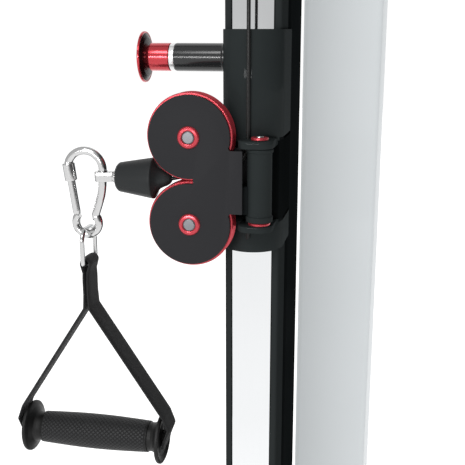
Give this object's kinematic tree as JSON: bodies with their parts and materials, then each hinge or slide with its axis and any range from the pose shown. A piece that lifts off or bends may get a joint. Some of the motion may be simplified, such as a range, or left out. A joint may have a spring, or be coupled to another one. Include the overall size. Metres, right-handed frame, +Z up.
{
  "type": "cable crossover machine",
  "caption": "Twin weight-stack pulley stations joined by a beam, each with a height-adjustable carriage, swivelling double pulley and strap handle.",
  "frame": {"origin": "on the floor, midway between the two stations", "axes": "+X towards the right-hand station, +Y towards the back, +Z up"},
  "size_m": [2.07, 1, 2.1438],
  "materials": {
    "black_paint": "satin powder coat",
    "black_anodised": "black anodised",
    "polished_strip": "mirror polished",
    "light_paint": "satin light grey",
    "polished_steel": "polished",
    "plate_iron": "painted black",
    "red_aluminium": "red anodised",
    "red_knob": "red anodised",
    "gloss_black": "gloss",
    "dark_steel": "satin dark grey",
    "black_rubber": "matte",
    "black_webbing": "woven",
    "cable_jacket": "smooth"
  },
  "bodies": {
    "frame": {"cross_beam": "black_paint", "pull_up_bar": "black_paint", "right_base_foot": "black_paint", "right_main_post": "black_paint", "right_column": "black_anodised", "right_column_strip": "polished_strip", "right_stack_housing": "light_paint", "right_guide_frame": "polished_steel", "right_stack_resting": "plate_iron", "right_cable_upper_run": "cable_jacket", "right_cable_head": "cable_jacket", "right_cable_stack_run": "cable_jacket", "left_base_foot": "black_paint", "left_main_post": "black_paint", "left_column": "black_anodised", "left_column_strip": "polished_strip", "left_stack_housing": "light_paint", "left_guide_frame": "polished_steel", "left_stack_resting": "plate_iron", "left_cable_upper_run": "cable_jacket", "left_cable_head": "cable_jacket", "left_cable_stack_run": "cable_jacket"},
    "right_carriage": {"right_carriage_sleeve": "gloss_black", "right_hinge_pin": "dark_steel"},
    "right_pull_pin": {"right_pull_pin": "red_knob"},
    "right_bracket": {"right_pulley_bracket": "dark_steel", "right_cable_handle": "cable_jacket"},
    "right_upper_pulley": {"right_pulley_upper": "red_aluminium"},
    "right_lower_pulley": {"right_pulley_lower": "red_aluminium"},
    "right_cable_end": {"right_ball_stop": "black_rubber", "right_cable_eye": "polished_steel"},
    "right_hook": {"right_carabiner": "polished_steel"},
    "right_gate": {"right_carabiner_gate": "polished_steel"},
    "right_ring": {"right_ring": "polished_steel"},
    "right_strap": {"right_strap": "black_webbing"},
    "right_grip": {"right_grip": "black_rubber"},
    "right_stack": {"right_stack_lifting": "plate_iron"},
    "right_stack_pulley": {"right_stack_pulley": "red_aluminium"},
    "right_selector_pin": {"right_selector_pin": "red_knob"},
    "right_head_front": {"right_head_front_pulley": "red_aluminium"},
    "right_head_rear": {"right_head_rear_pulley": "red_aluminium"},
    "left_carriage": {"left_carriage_sleeve": "gloss_black", "left_hinge_pin": "dark_steel"},
    "left_pull_pin": {"left_pull_pin": "red_knob"},
    "left_bracket": {"left_pulley_bracket": "dark_steel", "left_cable_handle": "cable_jacket"},
    "left_upper_pulley": {"left_pulley_upper": "red_aluminium"},
    "left_lower_pulley": {"left_pulley_lower": "red_aluminium"},
    "left_cable_end": {"left_ball_stop": "black_rubber", "left_cable_eye": "polished_steel"},
    "left_hook": {"left_carabiner": "polished_steel"},
    "left_gate": {"left_carabiner_gate": "polished_steel"},
    "left_ring": {"left_ring": "polished_steel"},
    "left_strap": {"left_strap": "black_webbing"},
    "left_grip": {"left_grip": "black_rubber"},
    "left_stack": {"left_stack_lifting": "plate_iron"},
    "left_stack_pulley": {"left_stack_pulley": "red_aluminium"},
    "left_selector_pin": {"left_selector_pin": "red_knob"},
    "left_head_front": {"left_head_front_pulley": "red_aluminium"},
    "left_head_rear": {"left_head_rear_pulley": "red_aluminium"}
  },
  "joints": [
    {"name": "right_carriage_slide", "type": "slide", "parent": "frame", "child": "right_carriage", "axis": [0, 0, 1], "range_m": [-0.8, 0.56], "deforming": ["right_cable_upper_run"]},
    {"name": "right_pull_pin_slide", "type": "slide", "parent": "right_carriage", "child": "right_pull_pin", "axis": [-1, 0, 0], "range_m": [0, 0.01], "stiffness_N_per_m": 600, "springref_m": -0.005},
    {"name": "right_bracket_swivel", "type": "hinge", "parent": "right_carriage", "child": "right_bracket", "pos_m": [0.9133, -0.233, 1.27], "axis": [0, 0, 1], "range_deg": [0, 180]},
    {"name": "right_upper_pulley_spin", "type": "hinge", "parent": "right_bracket", "child": "right_upper_pulley", "pos_m": [0.844, -0.233, 1.3163], "axis": [0, 1, 0], "continuous": true},
    {"name": "right_lower_pulley_spin", "type": "hinge", "parent": "right_bracket", "child": "right_lower_pulley", "pos_m": [0.844, -0.233, 1.2282], "axis": [0, 1, 0], "continuous": true},
    {"name": "right_handle_pull", "type": "slide", "parent": "right_bracket", "child": "right_cable_end", "axis": [-1, 0, 0], "range_m": [0, 0.6]},
    {"name": "right_hook_swing", "type": "hinge", "parent": "right_cable_end", "child": "right_hook", "pos_m": [0.7491, -0.233, 1.27225], "axis": [0, 0, 1], "range_deg": [-30, 30]},
    {"name": "right_gate_open", "type": "hinge", "parent": "right_hook", "child": "right_gate", "pos_m": [0.7185, -0.233, 1.2335], "axis": [0, 1, 0], "range_deg": [0, 20], "stiffness_Nm_per_rad": 0.05},
    {"name": "right_ring_swing", "type": "hinge", "parent": "right_hook", "child": "right_ring", "pos_m": [0.73, -0.233, 1.2168], "axis": [0, 1, 0], "range_deg": [-8, 25]},
    {"name": "right_strap_swing", "type": "hinge", "parent": "right_ring", "child": "right_strap", "pos_m": [0.73, -0.233, 1.1798], "axis": [0, 1, 0], "range_deg": [-8, 25]},
    {"name": "right_grip_spin", "type": "hinge", "parent": "right_strap", "child": "right_grip", "pos_m": [0.73, -0.233, 0.98], "axis": [1, 0, 0], "continuous": true},
    {"name": "right_stack_lift", "type": "slide", "parent": "frame", "child": "right_stack", "axis": [0, 0, 1], "range_m": [0, 0.3], "deforming": ["right_cable_stack_run"]},
    {"name": "right_stack_pulley_spin", "type": "hinge", "parent": "right_stack", "child": "right_stack_pulley", "pos_m": [0.97755, 0.131, 0.5773], "axis": [0.977, -0.2131, 0], "continuous": true},
    {"name": "right_selector_pin_slide", "type": "slide", "parent": "right_stack", "child": "right_selector_pin", "axis": [-1, 0, 0], "range_m": [0, 0.06]},
    {"name": "right_head_front_spin", "type": "hinge", "parent": "frame", "child": "right_head_front", "pos_m": [0.90869, -0.18474, 2.1], "axis": [0.977, -0.2131, 0], "continuous": true},
    {"name": "right_head_rear_spin", "type": "hinge", "parent": "frame", "child": "right_head_rear", "pos_m": [0.96016, 0.05127, 2.1], "axis": [0.977, -0.2131, 0], "continuous": true},
    {"name": "left_carriage_slide", "type": "slide", "parent": "frame", "child": "left_carriage", "axis": [0, 0, 1], "range_m": [-0.8, 0.56], "deforming": ["left_cable_upper_run"]},
    {"name": "left_pull_pin_slide", "type": "slide", "parent": "left_carriage", "child": "left_pull_pin", "axis": [1, 0, 0], "range_m": [0, 0.01], "stiffness_N_per_m": 600, "springref_m": -0.005},
    {"name": "left_bracket_swivel", "type": "hinge", "parent": "left_carriage", "child": "left_bracket", "pos_m": [-0.9133, -0.233, 1.27], "axis": [0, 0, -1], "range_deg": [0, 180]},
    {"name": "left_upper_pulley_spin", "type": "hinge", "parent": "left_bracket", "child": "left_upper_pulley", "pos_m": [-0.844, -0.233, 1.3163], "axis": [0, -1, 0], "continuous": true},
    {"name": "left_lower_pulley_spin", "type": "hinge", "parent": "left_bracket", "child": "left_lower_pulley", "pos_m": [-0.844, -0.233, 1.2282], "axis": [0, -1, 0], "continuous": true},
    {"name": "left_handle_pull", "type": "slide", "parent": "left_bracket", "child": "left_cable_end", "axis": [1, 0, 0], "range_m": [0, 0.6]},
    {"name": "left_hook_swing", "type": "hinge", "parent": "left_cable_end", "child": "left_hook", "pos_m": [-0.7491, -0.233, 1.27225], "axis": [0, 0, -1], "range_deg": [-30, 30]},
    {"name": "left_gate_open", "type": "hinge", "parent": "left_hook", "child": "left_gate", "pos_m": [-0.7185, -0.233, 1.2335], "axis": [0, -1, 0], "range_deg": [0, 20], "stiffness_Nm_per_rad": 0.05},
    {"name": "left_ring_swing", "type": "hinge", "parent": "left_hook", "child": "left_ring", "pos_m": [-0.73, -0.233, 1.2168], "axis": [0, -1, 0], "range_deg": [-8, 25]},
    {"name": "left_strap_swing", "type": "hinge", "parent": "left_ring", "child": "left_strap", "pos_m": [-0.73, -0.233, 1.1798], "axis": [0, -1, 0], "range_deg": [-8, 25]},
    {"name": "left_grip_spin", "type": "hinge", "parent": "left_strap", "child": "left_grip", "pos_m": [-0.73, -0.233, 0.98], "axis": [1, 0, 0], "continuous": true},
    {"name": "left_stack_lift", "type": "slide", "parent": "frame", "child": "left_stack", "axis": [0, 0, 1], "range_m": [0, 0.3], "deforming": ["left_cable_stack_run"]},
    {"name": "left_stack_pulley_spin", "type": "hinge", "parent": "left_stack", "child": "left_stack_pulley", "pos_m": [-0.97755, 0.131, 0.5773], "axis": [0.977, 0.2131, 0], "continuous": true},
    {"name": "left_selector_pin_slide", "type": "slide", "parent": "left_stack", "child": "left_selector_pin", "axis": [1, 0, 0], "range_m": [0, 0.06]},
    {"name": "left_head_front_spin", "type": "hinge", "parent": "frame", "child": "left_head_front", "pos_m": [-0.90869, -0.18474, 2.1], "axis": [0.977, 0.2131, 0], "continuous": true},
    {"name": "left_head_rear_spin", "type": "hinge", "parent": "frame", "child": "left_head_rear", "pos_m": [-0.96016, 0.05127, 2.1], "axis": [0.977, 0.2131, 0], "continuous": true}
  ],
  "couplings": [
    {"joint": "right_handle_pull", "follows": "right_stack_lift", "ratio": 2},
    {"joint": "right_upper_pulley_spin", "follows": "right_stack_lift", "rad_per_m": 49.02},
    {"joint": "right_head_front_spin", "follows": "right_stack_lift", "rad_per_m": 49.02},
    {"joint": "right_head_rear_spin", "follows": "right_stack_lift", "rad_per_m": 49.02},
    {"joint": "right_stack_pulley_spin", "follows": "right_stack_lift", "rad_per_m": -24.51},
    {"joint": "left_handle_pull", "follows": "left_stack_lift", "ratio": 2},
    {"joint": "left_upper_pulley_spin", "follows": "left_stack_lift", "rad_per_m": 49.02},
    {"joint": "left_head_front_spin", "follows": "left_stack_lift", "rad_per_m": 49.02},
    {"joint": "left_head_rear_spin", "follows": "left_stack_lift", "rad_per_m": 49.02},
    {"joint": "left_stack_pulley_spin", "follows": "left_stack_lift", "rad_per_m": -24.51}
  ]
}
